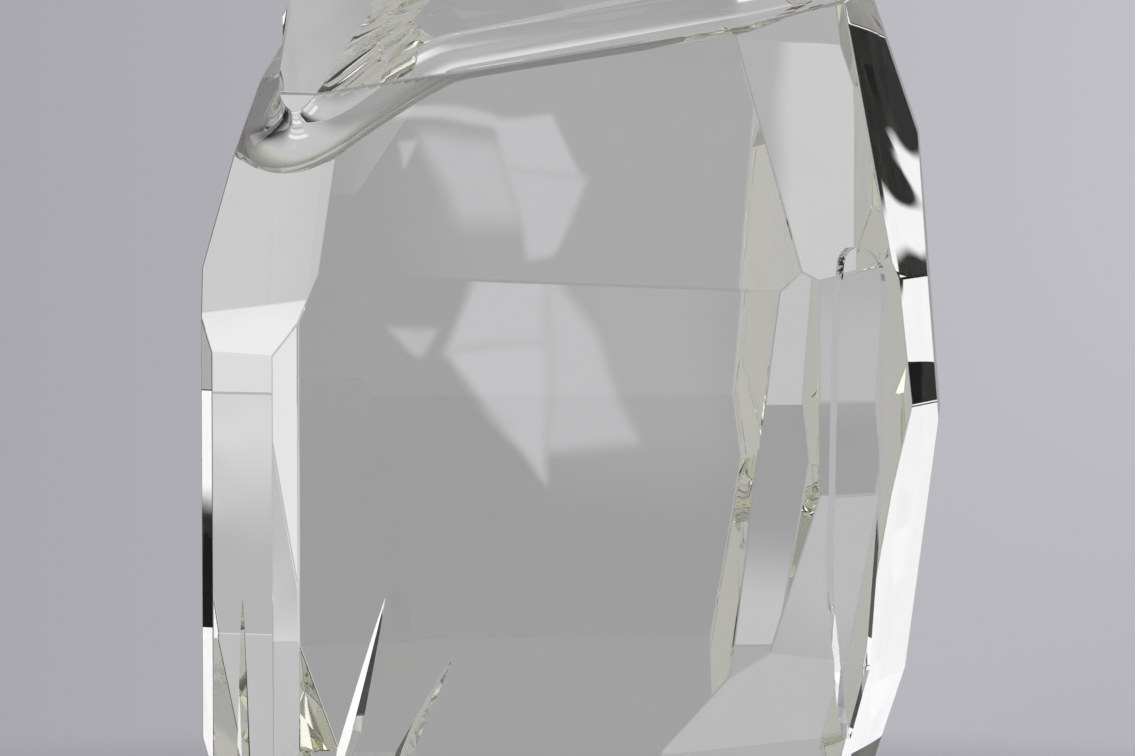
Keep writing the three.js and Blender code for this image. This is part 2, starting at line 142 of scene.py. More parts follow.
# Hand polish: scale per metre and detail of each noise, levels between which the film sets in,
# where the ripples set in across the owl and towards its rear, and their strength.
FILM_NOISE = (160, 4)
FILM_LEVELS = (0.45, 0.8)
WAVE_NOISE = (38, 1)
RIPPLE_NOISE = (105, 0)
RIPPLE_ACROSS = (44 * MM, 50 * MM)
RIPPLE_REAR = (2 * MM, 12 * MM)
RIPPLE_STRENGTH = 2.2

# Haze of each glass, strength and height of its waves, and how much paler film makes the black.
CRYSTAL_POLISH = (0.03, 0.02, 2 * MM)
JET_POLISH = (0.12, 0.05, 1 * MM)
JET_FILM = 2

# Floor: steps round its rim, its rim and where it starts to melt as shares of its radius, its drop
# below the owl, and the paleness of its paper.
FLOOR_STEPS = 96
FLOOR_RIM = 1.05
FLOOR_MELT = 0.5
FLOOR_DROP = 0.2 * MM
PAPER = 0.43

# Bounces that light needs to find its way out of the glass.
BOUNCES = 32

# Shade of the room by azimuth, in degrees from the view's line, plus to the right.
ROOM = (
    (-180, 0.5), (-100, 0.46), (-64, 0.42), (-58, 0.012), (-40, 0.012), (-36, 0.45), (-9, 0.46),
    (-5, 0.36), (6, 0.36), (10, 0.345), (12.5, 0.36), (17, 0.5), (21, 0.58), (31, 0.6),
    (34, 0.42), (37.5, 0.012), (58, 0.012), (64, 0.42), (100, 0.46), (180, 0.5),
)

# Panels in the room, in degrees, each laid over those before it. Tilt leans the sides and flare
# opens them, in degrees across for each degree up.
PANEL_SOCKETS = ("Across", "Up", "Half width", "Half height", "Tilt", "Flare", "Soft", "Shade")
PANELS = (
    # Lamps behind the camera, mirrored in the shoulder.
    (178.0, 29, 2.3, 2.5, 0, 0, 0.6, 1.3),
    (179.84, 28.9, 0.39, 0.42, 0.37, 0.09, 0.12, 3.7),
    (179.1, 29.3, 0.46, 0.3, 0.5, -0.21, 0.06, 4.3),
    (178.985, 28.585, 0.375, 0.415, -0.14, 0.44, 0.07, 4.1),
    (180.17, 29.555, 0.58, 0.07, 0, 0, 0.05, 4.2),
    (180.54, 29.11, 0.055, 0.135, 0, 0.41, 0.04, 3.4),
    # Lamps behind the camera, mirrored in the flank.
    (179.2, -3.7, 0.9, 1.2, 0, 0, 0.6, 1.8),
    (179.93, -3.76, 0.21, 0.9, 0.23, -0.222, 0.1, 4.1),
    (180.64, -3.3, 0.5, 0.43, -0.167, -0.167, 0.1, 4.4),
    (180.43, -4.36, 0.29, 0.64, 0.445, 0.45, 0.1, 4.7),
    (181.55, -3.62, 0.1, 0.13, 0, 0.5, 0.05, 3.6),
    # Foot of the backdrop, seen through the low part of the flank.
    (3, -0.4, 10, 2.4, 0, 0, 0.8, 0.335),
    # White card on the right and its shades, seen through the breast and its corner.
    (14, -3.5, 1.2, 6.0, 0, 0, 0.4, 0.84),
    (28, -3, 5, 3.2, 0, 0, 1.0, 0.475),
    (27, 4, 4, 4, 0, 0, 1.0, 0.54),
    (27, 0, 6, 0.7, 0, 0, 0.75, 0.73),
    (28, -7.2, 5, 1.2, 0, 0, 0.6, 0.77),
    (28, -11, 5, 1.2, 0, 0, 0.6, 0.92),
    (28.4, -17, 0.5, 2.5, 0, 0, 0.3, 0.64),
    # Folds of the sweep on the left, seen through the side.
    (-13.4, -17, 0.6, 4, 0, 0, 0.12, 0.63),
    (-7, -4, 1.2, 3.6, 0, 0, 0.6, 0.56),
    (-15.9, -5.6, 0.6, 0.7, 0, 0, 0.3, 0.51),
    (-12, 0.2, 7, 0.8, 0, 0, 0.5, 0.345),
    (-16, 3, 1.5, 1.0, 0, 0, 0.4, 0.48),
    (-15.5, 10, 1.2, 8, 0, 0, 0.5, 0.52),
    # Strip lights between black flags, seen through the rims.
    (-50, -30, 6, 10.25, 0, 0, 0.15, 1.2),
    (-50, -20.8, 6, 0.3, 0, 0, 0.12, 0.02),
    (-50, -10.8, 5, 1.4, 0, 0, 0.12, 1.2),
    (-50, 21, 6, 21.6, 0, 0, 0.2, 1.2),
    (51, 15.75, 6, 16, 0, 0, 0.2, 1.2),
    (51, -8, 6, 4, 0, 0, 0.5, 0.5),
    (52, -24, 6, 11, 0, 0, 1.0, 0.45),
    # Overhead soft box, and two small ones seen through the groove at the neck.
    (0, 90, 400, 30, 0, 0, 6, 0.8),
    (-12.5, 43, 4.5, 2.6, 0, 0, 1.3, 1.0),
    (11, 44.6, 4, 0.8, 0, 0, 0.5, 1.3),
)

# Shade of the sweep that the camera sees, by azimuth, and its fall into shade at the lower right.
SWEEP = ((-180, 0.47), (-30, 0.42), (-6, 0.392), (6, 0.535), (30, 0.52), (180, 0.47))
SWEEP_FALL = ((8, -9.5, 5, 3.5, 0, 0, 4, 0.44),)


class OwlCutting(PropertyGroup):
    """Sizes of the wheel cuts and polished edges."""

    arris: FloatProperty(
        name="Arris",
        description="Width of the polished band along each facet edge",
        default=0.35 * MM,
        unit="LENGTH",
    )
    groove_radius: FloatProperty(
        name="Groove radius",
        description="Radius of the rolled groove round the collar",
        default=8 * MM,
        unit="LENGTH",
    )
    groove_depth: FloatProperty(
        name="Groove depth",
        description="Depth of the groove round the collar",
        default=3 * MM,
        unit="LENGTH",
    )
    groove_rise: FloatProperty(
        name="Groove rise",
        description="Height of the groove above the neck seam at the sides",
        default=7.5 * MM,
        unit="LENGTH",
    )
    groove_dip: FloatProperty(
        name="Groove dip",
        description="How far the groove drops at the breast",
        default=12 * MM,
        unit="LENGTH",
    )
    groove_dip_depth: FloatProperty(
        name="Groove dip depth",
        description="Depth of the groove at the breast",
        default=1.7 * MM,
        unit="LENGTH",
    )
    groove_dip_span: FloatProperty(
        name="Groove dip span",
        description="How far round from the breast the drop reaches",
        default=math.radians(25),
        subtype="ANGLE",
    )
    groove_span: FloatProperty(
        name="Groove span",
        description="How far round from the breast the groove keeps its depth",
        default=math.radians(70),
        subtype="ANGLE",
    )
    groove_run_out: FloatProperty(
        name="Groove run-out",
        description="Angle over which the groove leaves the glass at its ends",
        default=math.radians(25),
        subtype="ANGLE",
    )
    mitre_width: FloatProperty(
        name="Mitre width",
        description="Width of a feather cut at its foot",
        default=4.5 * MM,
        unit="LENGTH",
    )
    mitre_depth: FloatProperty(
        name="Mitre depth",
        description="Depth of a feather cut at its foot",
        default=4.0 * MM,
        unit="LENGTH",
    )


class OwlCrystal(PropertyGroup):
    """Colour and clarity of the glass."""

    tint: FloatVectorProperty(
        name="Tint",
        description="Colour that a deep block of the crystal leans to",
        subtype="COLOR",
        size=3,
        min=0.0,
        max=1.0,
        default=(0.86, 0.87, 0.55),
    )
    tint_density: FloatProperty(
        name="Tint density",
        description="Absorption per metre of crystal",
        default=1.8,
    )
    film: FloatVectorProperty(
        name="Film",
        description="Colour of the crystal under its faint polishing film",
        subtype="COLOR",
        size=3,
        min=0.0,
        max=1.0,
        default=(0.975, 0.978, 0.98),
    )
    bend: FloatProperty(
        name="Bend",
        description="Refractive index of the crystal and the black glass",
        default=1.54,
    )
    pupil: FloatVectorProperty(
        name="Pupil",
        description="Colour of the black glass under the eye lenses",
        subtype="COLOR",
        size=3,
        min=0.0,
        max=1.0,
        default=(0.006, 0.006, 0.008),
    )


class OwlStage(PropertyGroup):
    """The pale sweep and the soft boxes around it."""

    sweep: FloatVectorProperty(
        name="Sweep",
        description="Colour cast of the floor and backdrop",
        subtype="COLOR",
        size=3,
        min=0.0,
        max=1.2,
        default=(1.0, 0.988, 1.07),
    )
    light: FloatVectorProperty(
        name="Light",
        description="Colour cast of the room that the glass bends and mirrors",
        subtype="COLOR",
        size=3,
        min=0.0,
        max=1.2,
        default=(1.0, 0.993, 1.05),
    )
    floor_radius: FloatProperty(
        name="Floor radius",
        description="Radius at which the floor has melted into the backdrop",
        default=0.2,
        unit="LENGTH",
    )


# Meshes


def link_mesh(name, bm):
    """Links a bmesh as an object at the origin: a piece, the floor, or the tool of one cut."""
    mesh = bpy.data.meshes.new(name)
    bm.to_mesh(mesh)
    bm.free()
    item = bpy.data.objects.new(name, mesh)
    bpy.context.scene.collection.objects.link(item)
    return item


def new_piece(name, bm, material):
    """Links a bmesh as a piece of the owl, in its glass."""
    piece = link_mesh(name, bm)
    piece.data.materials.append(material)
    return piece


def stand_for(piece, node):
    """The piece takes the place of a solid, no larger than it, and moves with the owl."""
    for axis in range(3):
        solid = [v.co[axis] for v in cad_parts[node].data.vertices]
        cut = [v.co[axis] for v in piece.data.vertices]
        if not cut or min(cut) < min(solid) - FIT_ROOM or max(cut) > max(solid) + FIT_ROOM:
            raise RuntimeError(f"{piece.name} does not fit its solid {node}")
    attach(piece, BODY)
    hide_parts(node)


def facet_planes(node, low=-math.inf):
    """Point and normal of each flat facet that bounds a solid above a height."""
    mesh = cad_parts[node].data
    spots = [v.co.copy() for v in mesh.vertices]
    faces = [f for f in mesh.polygons if f.center.z > low]
    used = {i for f in faces for i in f.vertices}
    planes = []
    for face in sorted(faces, key=lambda f: -f.area):
        if face.area < LEAST_FACET:
            break
        point, normal = face.center.copy(), face.normal.copy()
        if any((spots[i] - point).dot(normal) > FLATNESS for i in used):
            continue
        if all(normal.dot(n) < PARALLEL or abs((point - p).dot(n)) > FLATNESS for p, n in planes):
            planes.append((point, normal))
    return planes


def ground_block(planes):
    """A block ground flat on each plane in turn."""
    bm = bmesh.new()
    bmesh.ops.create_cube(bm, size=1.0)
    for point, normal in planes:
        parts = bm.verts[:] + bm.edges[:] + bm.faces[:]
        cut = bmesh.ops.bisect_plane(
            bm, geom=parts, plane_co=point, plane_no=normal, clear_outer=True, dist=FINE_WELD
        )
        rim = [e for e in cut["geom_cut"] if isinstance(e, bmesh.types.BMEdge)]
        bmesh.ops.holes_fill(bm, edges=[e for e in rim if e.is_boundary])
    bmesh.ops.remove_doubles(bm, verts=bm.verts, dist=WELD)
    bmesh.ops.recalc_face_normals(bm, faces=bm.faces)
    return bm


def polish_edges(bm, width, least=FACET_EDGE):
    """A narrow polished band along every edge between two facets."""
    edges = [e for e in bm.edges if e.is_manifold and e.calc_face_angle() > least]
    bmesh.ops.bevel(
        bm,
        geom=edges,
        offset=width / 2,
        offset_type="OFFSET",
        affect="EDGES",
        segments=EDGE_STEPS,
        profile=0.5,
        clamp_overlap=True,
        material=-1,
    )


def solid_copy(node):
    """A bmesh of a solid with its flat facets whole."""
    bm = bmesh.new()
    bm.from_mesh(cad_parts[node].data)
    bmesh.ops.remove_doubles(bm, verts=bm.verts, dist=WELD)
    bmesh.ops.dissolve_limit(bm, angle_limit=FLAT_ANGLE, verts=bm.verts, edges=bm.edges)
    return bm


def worked_out(item):
    """A new mesh of an object, with its modifier applied or its curve filled out."""
    bpy.context.view_layer.update()
    graph = bpy.context.evaluated_depsgraph_get()
    return bpy.data.meshes.new_from_object(item.evaluated_get(graph))


def carve(piece, cutter, operation="DIFFERENCE"):
    """Cuts a piece with another mesh, or joins them, and throws the cutter away."""
    boolean = piece.modifiers.new("carve", "BOOLEAN")
    boolean.operation = operation
    boolean.solver = "EXACT"
    boolean.object = cutter
    carved = worked_out(piece)
    piece.modifiers.remove(boolean)
    old = piece.data
    piece.data = carved
    carved.name = piece.name
    bpy.data.meshes.remove(old)
    bpy.data.objects.remove(cutter)


def close_cuts(piece):
    """Merges the hairline slivers that the cuts leave along their edges."""
    bm = bmesh.new()
    bm.from_mesh(piece.data)
    bmesh.ops.remove_doubles(bm, verts=bm.verts, dist=SLIVER)
    bmesh.ops.dissolve_degenerate(bm, edges=bm.edges, dist=WELD)
    bm.to_mesh(piece.data)
    bm.free()


def heading(azimuth, rise=0.0):
    """Unit vector at an azimuth from the breast, raised by an angle."""
    level = math.cos(rise)
    return Vector((level * math.sin(azimuth), -level * math.cos(azimuth), math.sin(rise)))


def facing(across, normal):
    """Matrix with x across a facet, y up it and z out of it."""
    return Matrix((across, normal.cross(across), normal)).transposed().to_4x4()


def facet_frame(azimuth, reach):
    """Matrix on an upright facet, at the height of the floor."""
    normal = heading(azimuth)
    matrix = facing(Vector((math.cos(azimuth), math.sin(azimuth), 0)), normal)
    matrix.translation = normal * reach
    return matrix


def seam_way(azimuth):
    """Way out along the neck seam at an azimuth, of length 1 seen from above."""
    return Vector((math.sin(azimuth), -math.cos(azimuth), -NECK_SLOPE * math.cos(azimuth)))


def seam_reach(plane, way):
    """How far along a way on the neck seam a plane is met."""
    point, normal = plane
    return (point - NECK_MIDDLE).dot(normal) / normal.dot(way)


def seam_radius(planes, azimuth):
    """How far from the axis the neck seam ends at an azimuth."""
    way = seam_way(azimuth)
    met = [p for p in planes if p[1].dot(way) > LEAST_FACING and p[1].z < FACET_RISE]
    return min(seam_reach(plane, way) for plane in met)


def collar_planes(neck):
    """Planes of the collar: the seam, the jaw, and one leaning in over each facet at the seam."""
    up = Vector((0, -NECK_SLOPE, 1)).normalized()
    planes = [(NECK_MIDDLE + up * BOND, -up), (Vector((0, 0, JAW_HEIGHT)), Vector((0, 0, 1)))]
    for plane in neck:
        normal = plane[1]
        if COLLAR_RISE[0] < normal.z < COLLAR_RISE[1]:
            azimuth = math.atan2(normal.x, -normal.y)
            way = seam_way(azimuth)
            foot = NECK_MIDDLE + way * seam_reach(plane, way)
            planes.append((foot, heading(azimuth, COLLAR_LEAN)))
    return planes


def smoothstep(value, low, high):
    """Soft step from 0 at low to 1 at high."""
    share = min(max((value - low) / (high - low), 0), 1)
    return share * share * (3 - 2 * share)


def groove_cutter(name, planes, cutting):
    """A smooth rolled tool round the collar, lowest at the breast."""
    curve = bpy.data.curves.new(name, "CURVE")
    curve.dimensions = "3D"
    curve.bevel_depth = cutting.groove_radius
    curve.bevel_resolution = GROOVE_ROUND
    curve.resolution_u = GROOVE_STEPS
    curve.use_fill_caps = True
    spline = curve.splines.new("NURBS")
    spline.points.add(2 * GROOVE_POINTS)
    spline.order_u = GROOVE_ORDER
    spline.use_endpoint_u = True
    end = cutting.groove_span + cutting.groove_run_out
    for step in range(-GROOVE_POINTS, GROOVE_POINTS + 1):
        azimuth = step / GROOVE_POINTS * end
        dip = 1 - smoothstep(abs(azimuth), 0, cutting.groove_dip_span)
        rise = cutting.groove_rise - cutting.groove_dip * dip
        leave = smoothstep(abs(azimuth), cutting.groove_span, end)
        depth = cutting.groove_depth * (1 - GROOVE_LEAVE * leave)
        depth -= (cutting.groove_depth - cutting.groove_dip_depth) * dip
        seam = seam_radius(planes, azimuth)
        r = seam - rise * math.tan(COLLAR_LEAN) + cutting.groove_radius - depth
        z = NECK_HEIGHT - NECK_SLOPE * seam * math.cos(azimuth) + rise
        point = spline.points[step + GROOVE_POINTS]
        point.co = (r * math.sin(azimuth), -r * math.cos(azimuth), z, 1)
    tool = bpy.data.objects.new(name, curve)
    bpy.context.scene.collection.objects.link(tool)
    mesh = worked_out(tool)
    bpy.data.objects.remove(tool)
    bm = bmesh.new()
    bm.from_mesh(mesh)
    bpy.data.meshes.remove(mesh)
    bmesh.ops.remove_doubles(bm, verts=bm.verts, dist=FINE_WELD)
    bmesh.ops.recalc_face_normals(bm, faces=bm.faces)
    for face in bm.faces:
        face.smooth = len(face.verts) == 4
    return link_mesh(name, bm)


def mitre_cutter(name, matrix, tip, foot, width, depth):
    """A V-shaped wheel cut that swells from its tip to its foot."""
    bm = bmesh.new()
    tip, foot = Vector((*tip, 0)), Vector((*foot, 0))
    for share in MITRE_SHARES:
        middle = tip.lerp(foot, share)
        swell = share**MITRE_SWELL
        half = Vector((width / 2 * swell, 0, 0))
        for spot in (middle - half, middle + half, middle - Vector((0, 0, depth * swell))):
            bm.verts.new(spot)
        for spot in (middle - half, middle + half):
            bm.verts.new(spot + Vector((0, 0, depth)))
    bmesh.ops.remove_doubles(bm, verts=bm.verts, dist=FINE_WELD)
    hull = bmesh.ops.convex_hull(bm, input=bm.verts)
    spare = [v for v in hull["geom_interior"] if isinstance(v, bmesh.types.BMVert)]
    bmesh.ops.delete(bm, geom=spare, context="VERTS")
    bmesh.ops.transform(bm, matrix=matrix, verts=bm.verts)
    bmesh.ops.recalc_face_normals(bm, faces=bm.faces)
    return link_mesh(name, bm)


def eye_frame(side):
    """Matrix on the face facet at the middle of an eye, with z out of it."""
    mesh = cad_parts[f"{side}_pupil"].data
    spots = [v.co for v in mesh.vertices]
    flat = max(mesh.polygons, key=lambda f: f.area).normal
    normal = flat.copy() if flat.y < 0 else -flat
    matrix = facing(Vector((0, 0, 1)).cross(normal).normalized(), normal)
    spans = [[matrix.col[i].xyz.dot(s) for s in spots] for i in range(3)]
    middle = [(min(span) + max(span)) / 2 for span in spans[:2]]
    place = Vector((*middle, min(spans[2]) - SOCKET_FLOOR - BOND))
    matrix.translation = matrix.to_3x3() @ place
    return matrix


def turned(profile, matrix):
    """A closed solid turned about z from a profile that starts and ends there, then placed."""
    bm = bmesh.new()
    spots = [bm.verts.new((r, 0, z)) for r, z in profile]
    edges = [bm.edges.new(pair) for pair in zip(spots, spots[1:])]
    bmesh.ops.spin(
        bm,
        geom=spots + edges,
        cent=(0, 0, 0),
        axis=(0, 0, 1),
        angle=2 * math.pi,
        steps=TURN_STEPS,
        use_merge=True,
    )
    bmesh.ops.remove_doubles(bm, verts=bm.verts, dist=FINE_WELD)
    bmesh.ops.recalc_face_normals(bm, faces=bm.faces)
    bmesh.ops.transform(bm, matrix=matrix, verts=bm.verts)
    for face in bm.faces:
        face.smooth = True
    for edge in bm.edges:
        edge.smooth = edge.calc_face_angle(0) < TURN_EDGE
    return bm


def arc(half, sag):
    """Points of a circular arc that rises by sag from the axis out to a half chord."""
    radius = (half * half + sag * sag) / (2 * sag)
    sweep = math.asin(half / radius)
    turns = [k / ARC_STEPS * sweep for k in range(ARC_STEPS + 1)]
    return [(radius * math.sin(t), radius * (1 - math.cos(t))) for t in turns]


def beak_flat():
    """A block that grinds the seat of the beak across the ridge of the face."""
    spots = [v.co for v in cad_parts["beak"].data.vertices]
    back = max(s.y for s in spots) + BOND
    low, high = min(s.z for s in spots) - FLAT_ROOM, max(s.z for s in spots) + FLAT_ROOM
    wide = 2 * max(s.x for s in spots)
    bm = bmesh.new()
    bmesh.ops.create_cube(bm, size=1.0)
    bmesh.ops.scale(bm, vec=(2 * wide, FLAT_DEPTH, high - low), verts=bm.verts)
    bmesh.ops.translate(bm, vec=(0, back - FLAT_DEPTH / 2, (low + high) / 2), verts=bm.verts)
    return link_mesh("beak_flat", bm)


# Materials


def work(tree, operation, *values):
    """Result of a math node, from plain numbers and other nodes' results."""
    node = tree.nodes.new("ShaderNodeMath")
    node.operation = operation
    for socket, value in zip(node.inputs, values):
        if isinstance(value, (int, float)):
            socket.default_value = value
        else:
            tree.links.new(value, socket)
    return node.outputs["Value"]


def polish_group():
    """Waviness, film and haze left on hand-polished glass, with ripples on the rear sides."""
    name = "hand_polish"
    if name in bpy.data.node_groups:
        return bpy.data.node_groups[name]
    group = bpy.data.node_groups.new(name, "ShaderNodeTree")
    face = group.interface
    face.new_socket("Vector", in_out="INPUT", socket_type="NodeSocketVector")
    face.new_socket("Haze", in_out="INPUT", socket_type="NodeSocketFloat")
    for output in ("Film", "Roughness", "Height"):
        face.new_socket(output, in_out="OUTPUT", socket_type="NodeSocketFloat")
    nodes, links = group.nodes, group.links
    source = nodes.new("NodeGroupInput")
    sink = nodes.new("NodeGroupOutput")

    def noise(scale, detail):
        node = nodes.new("ShaderNodeTexNoise")
        node.inputs["Scale"].default_value = scale
        node.inputs["Detail"].default_value = detail
        links.new(source.outputs["Vector"], node.inputs["Vector"])
        return node.outputs["Fac"]

    def spread(value, low, high):
        node = nodes.new("ShaderNodeMapRange")
        node.inputs["From Min"].default_value = low
        node.inputs["From Max"].default_value = high
        links.new(value, node.inputs["Value"])
        return node

    film = spread(noise(*FILM_NOISE), *FILM_LEVELS).outputs["Result"]
    haze = spread(film, 0, 1)
    links.new(source.outputs["Haze"], haze.inputs["To Max"])
    spot = nodes.new("ShaderNodeSeparateXYZ")
    links.new(source.outputs["Vector"], spot.inputs["Vector"])
    side = spread(work(group, "ABSOLUTE", spot.outputs["X"]), *RIPPLE_ACROSS)
    rear = spread(spot.outputs["Y"], *RIPPLE_REAR)
    rear.inputs["To Max"].default_value = RIPPLE_STRENGTH
    place = work(group, "MULTIPLY", side.outputs["Result"], rear.outputs["Result"])
    ripple = work(group, "MULTIPLY", noise(*RIPPLE_NOISE), place)
    links.new(film, sink.inputs["Film"])
    links.new(haze.outputs["Result"], sink.inputs["Roughness"])
    links.new(work(group, "ADD", noise(*WAVE_NOISE), ripple), sink.inputs["Height"])
    return group


def glass_material(name, clear, filmed, haze, wave, wave_height):
    """Principled glass with the shared polish on its colour, roughness and normal."""
    material = bpy.data.materials.new(name)
    material.use_nodes = True
    nodes, links = material.node_tree.nodes, material.node_tree.links
    shader = nodes["Principled BSDF"]
    shader.inputs["IOR"].default_value = bpy.context.scene.owl_crystal.bend
    spot = nodes.new("ShaderNodeTexCoord")
    polish = nodes.new("ShaderNodeGroup")
    polish.node_tree = polish_group()
    polish.inputs["Haze"].default_value = haze
    tone = nodes.new("ShaderNodeMixRGB")
    tone.inputs["Color1"].default_value = (*clear, 1)
    tone.inputs["Color2"].default_value = (*filmed, 1)
    bump = nodes.new("ShaderNodeBump")
    bump.inputs["Strength"].default_value = wave
    bump.inputs["Distance"].default_value = wave_height
    links.new(spot.outputs["Object"], polish.inputs["Vector"])
    links.new(polish.outputs["Film"], tone.inputs["Fac"])
    links.new(tone.outputs["Color"], shader.inputs["Base Color"])
    links.new(polish.outputs["Roughness"], shader.inputs["Roughness"])
    links.new(polish.outputs["Height"], bump.inputs["Height"])
    links.new(bump.outputs["Normal"], shader.inputs["Normal"])
    return material


def crystal_material():
    """Clear crystal with a faint olive cast in the depth."""
    name = "polished_crystal"
    if name in bpy.data.materials:
        return bpy.data.materials[name]
    look = bpy.context.scene.owl_crystal
    material = glass_material(name, (1, 1, 1), look.film, *CRYSTAL_POLISH)
    nodes, links = material.node_tree.nodes, material.node_tree.links
    nodes["Principled BSDF"].inputs["Transmission Weight"].default_value = 1.0
    depth = nodes.new("ShaderNodeVolumeAbsorption")
    depth.inputs["Color"].default_value = (*look.tint, 1)
    depth.inputs["Density"].default_value = look.tint_density
    links.new(depth.outputs["Volume"], nodes["Material Output"].inputs["Volume"])
    return material


def jet_material():
    """Opaque black glass of the pupils."""
    name = "black_glass"
    if name in bpy.data.materials:
        return bpy.data.materials[name]
    black = bpy.context.scene.owl_crystal.pupil
    return glass_material(name, black, [JET_FILM * c for c in black], *JET_POLISH)


# Pieces


class OWL_OT_torso(Operator):
    """Grinds the torso's facets and cuts its groove and feather marks"""

    bl_idname = "owl.torso"
    bl_label = "Torso"

    def execute(self, context):
        cutting = context.scene.owl_cutting
        planes = facet_planes("torso")
        bm = ground_block(planes)
        polish_edges(bm, cutting.arris)
        piece = new_piece("torso_cut", bm, crystal_material())
        carve(piece, groove_cutter("torso_groove", planes, cutting))
        for azimuth, reach, tip, foot, share in FEATHERS:
            matrix = facet_frame(math.radians(azimuth), reach * MM)
            ends = [tuple(c * MM for c in end) for end in (tip, foot)]
            width = cutting.mitre_width * share
            carve(piece, mitre_cutter("mitre", matrix, *ends, width, cutting.mitre_depth))
        close_cuts(piece)
        stand_for(piece, "torso")
        return {"FINISHED"}


class OWL_OT_head(Operator):
    """Grinds the collar and skull, joins them and cuts the groove, the eyes and the beak flat"""

    bl_idname = "owl.head"
    bl_label = "Head"

    def execute(self, context):
        cutting = context.scene.owl_cutting
        neck = facet_planes("torso")
        collar_faces = collar_planes(neck)
        skull = ground_block([collar_faces[0], *facet_planes("head", low=SKULL_HEIGHT)])
        polish_edges(skull, cutting.arris)
        piece = new_piece("head_cut", skull, crystal_material())
        collar = ground_block(collar_faces)
        polish_edges(collar, cutting.arris)
        carve(piece, link_mesh("collar", collar), "UNION")
        carve(piece, groove_cutter("collar_groove", neck, cutting))
        bowl = [(r, z - BOWL_DEPTH) for r, z in arc(BOWL_RADIUS, BOWL_DEPTH) if r > SOCKET_RADIUS]
        profile = [(0, SOCKET_FLOOR), (SOCKET_RADIUS, SOCKET_FLOOR), (SOCKET_RADIUS, bowl[0][1])]
        profile += [*bowl, (BOWL_RADIUS, BOWL_DEPTH), (0, BOWL_DEPTH)]
        for side in SIDES:
            carve(piece, link_mesh(f"{side}_socket", turned(profile, eye_frame(side))))
        carve(piece, beak_flat())
        close_cuts(piece)
        stand_for(piece, "head")
        return {"FINISHED"}


class OWL_OT_bonded(Operator):
    """Polishes the wings, feet, tail, beak and ear tufts"""

    bl_idname = "owl.bonded"
    bl_label = "Bonded pieces"

    def execute(self, context):
        cutting = context.scene.owl_cutting
        pairs = [f"{side}_{part}" for part in ("wing", "foot", "ear_tuft") for side in SIDES]
        for node in ["beak", "tail", *pairs]:
            bm = solid_copy(node)
            polish_edges(bm, cutting.arris, least=BONDED_EDGE)
            piece = new_piece(f"{node}_cut", bm, crystal_material())
            stand_for(piece, node)
        return {"FINISHED"}


class OWL_OT_eyes(Operator):
    """Turns the domed eye lenses and the pupils under them"""

    bl_idname = "owl.eyes"
    bl_label = "Eyes"

    def execute(self, context):
        floor = SOCKET_FLOOR + BOND
        dome = [(r, LENS_DOME - BOWL_DEPTH - z) for r, z in arc(LENS_RADIUS, LENS_DOME)]
        hollow = floor + HOLLOW_DEPTH
        lens = [(0, hollow), (HOLLOW_RADIUS, hollow), (HOLLOW_RADIUS, floor)]
        lens += [(LENS_RADIUS, floor), *dome[::-1]]
        top = floor + PUPIL_DEPTH
        pupil = [(0, floor), (PUPIL_RADIUS, floor), (PUPIL_RADIUS, top), (0, top)]
        for side in SIDES:
            matrix = eye_frame(side)
            piece = new_piece(f"{side}_eye_lens_cut", turned(lens, matrix), crystal_material())
            stand_for(piece, f"{side}_eye_lens")
            piece = new_piece(f"{side}_pupil_cut", turned(pupil, matrix), jet_material())
            stand_for(piece, f"{side}_pupil")
        return {"FINISHED"}


class OWL_OT_stage(Operator):
    """Sets the pale sweep, the soft boxes and the camera"""

    bl_idname = "owl.stage"
    bl_label = "Stage"

    def execute(self, context):
        make_floor(context.scene.owl_stage)
        make_studio(context.scene.owl_stage)
        make_camera(context.scene)
        context.scene.view_settings.view_transform = "Standard"
        cycles = context.scene.cycles
        cycles.max_bounces = cycles.transmission_bounces = cycles.glossy_bounces = BOUNCES
        return {"FINISHED"}


# Stage


def make_floor(stage):
    """A pale disc that melts into the backdrop at its rim."""
    radius = stage.floor_radius
    bm = bmesh.new()
    bmesh.ops.create_circle(bm, cap_ends=True, segments=FLOOR_STEPS, radius=radius * FLOOR_RIM)
    floor = link_mesh("floor", bm)
    floor.location.z = -FLOOR_DROP
    material = bpy.data.materials.new("sweep")
    material.use_nodes = True
    nodes, links = material.node_tree.nodes, material.node_tree.links
    nodes.remove(nodes["Principled BSDF"])
    spot = nodes.new("ShaderNodeTexCoord")
    reach = nodes.new("ShaderNodeVectorMath")
    reach.operation = "LENGTH"
    melt = nodes.new("ShaderNodeMapRange")
    melt.interpolation_type = "SMOOTHSTEP"
    melt.inputs["From Min"].default_value = radius * FLOOR_MELT
    melt.inputs["From Max"].default_value = radius
    paper = nodes.new("ShaderNodeBsdfDiffuse")
    paper.inputs["Color"].default_value = (*[PAPER * c for c in stage.sweep], 1)
    clear = nodes.new("ShaderNodeBsdfTransparent")
    blend = nodes.new("ShaderNodeMixShader")
    links.new(spot.outputs["Object"], reach.inputs[0])
    links.new(reach.outputs["Value"], melt.inputs["Value"])
    links.new(melt.outputs["Result"], blend.inputs["Fac"])
    links.new(paper.outputs["BSDF"], blend.inputs[1])
    links.new(clear.outputs["BSDF"], blend.inputs[2])
    links.new(blend.outputs["Shader"], nodes["Material Output"].inputs["Surface"])
    floor.data.materials.append(material)


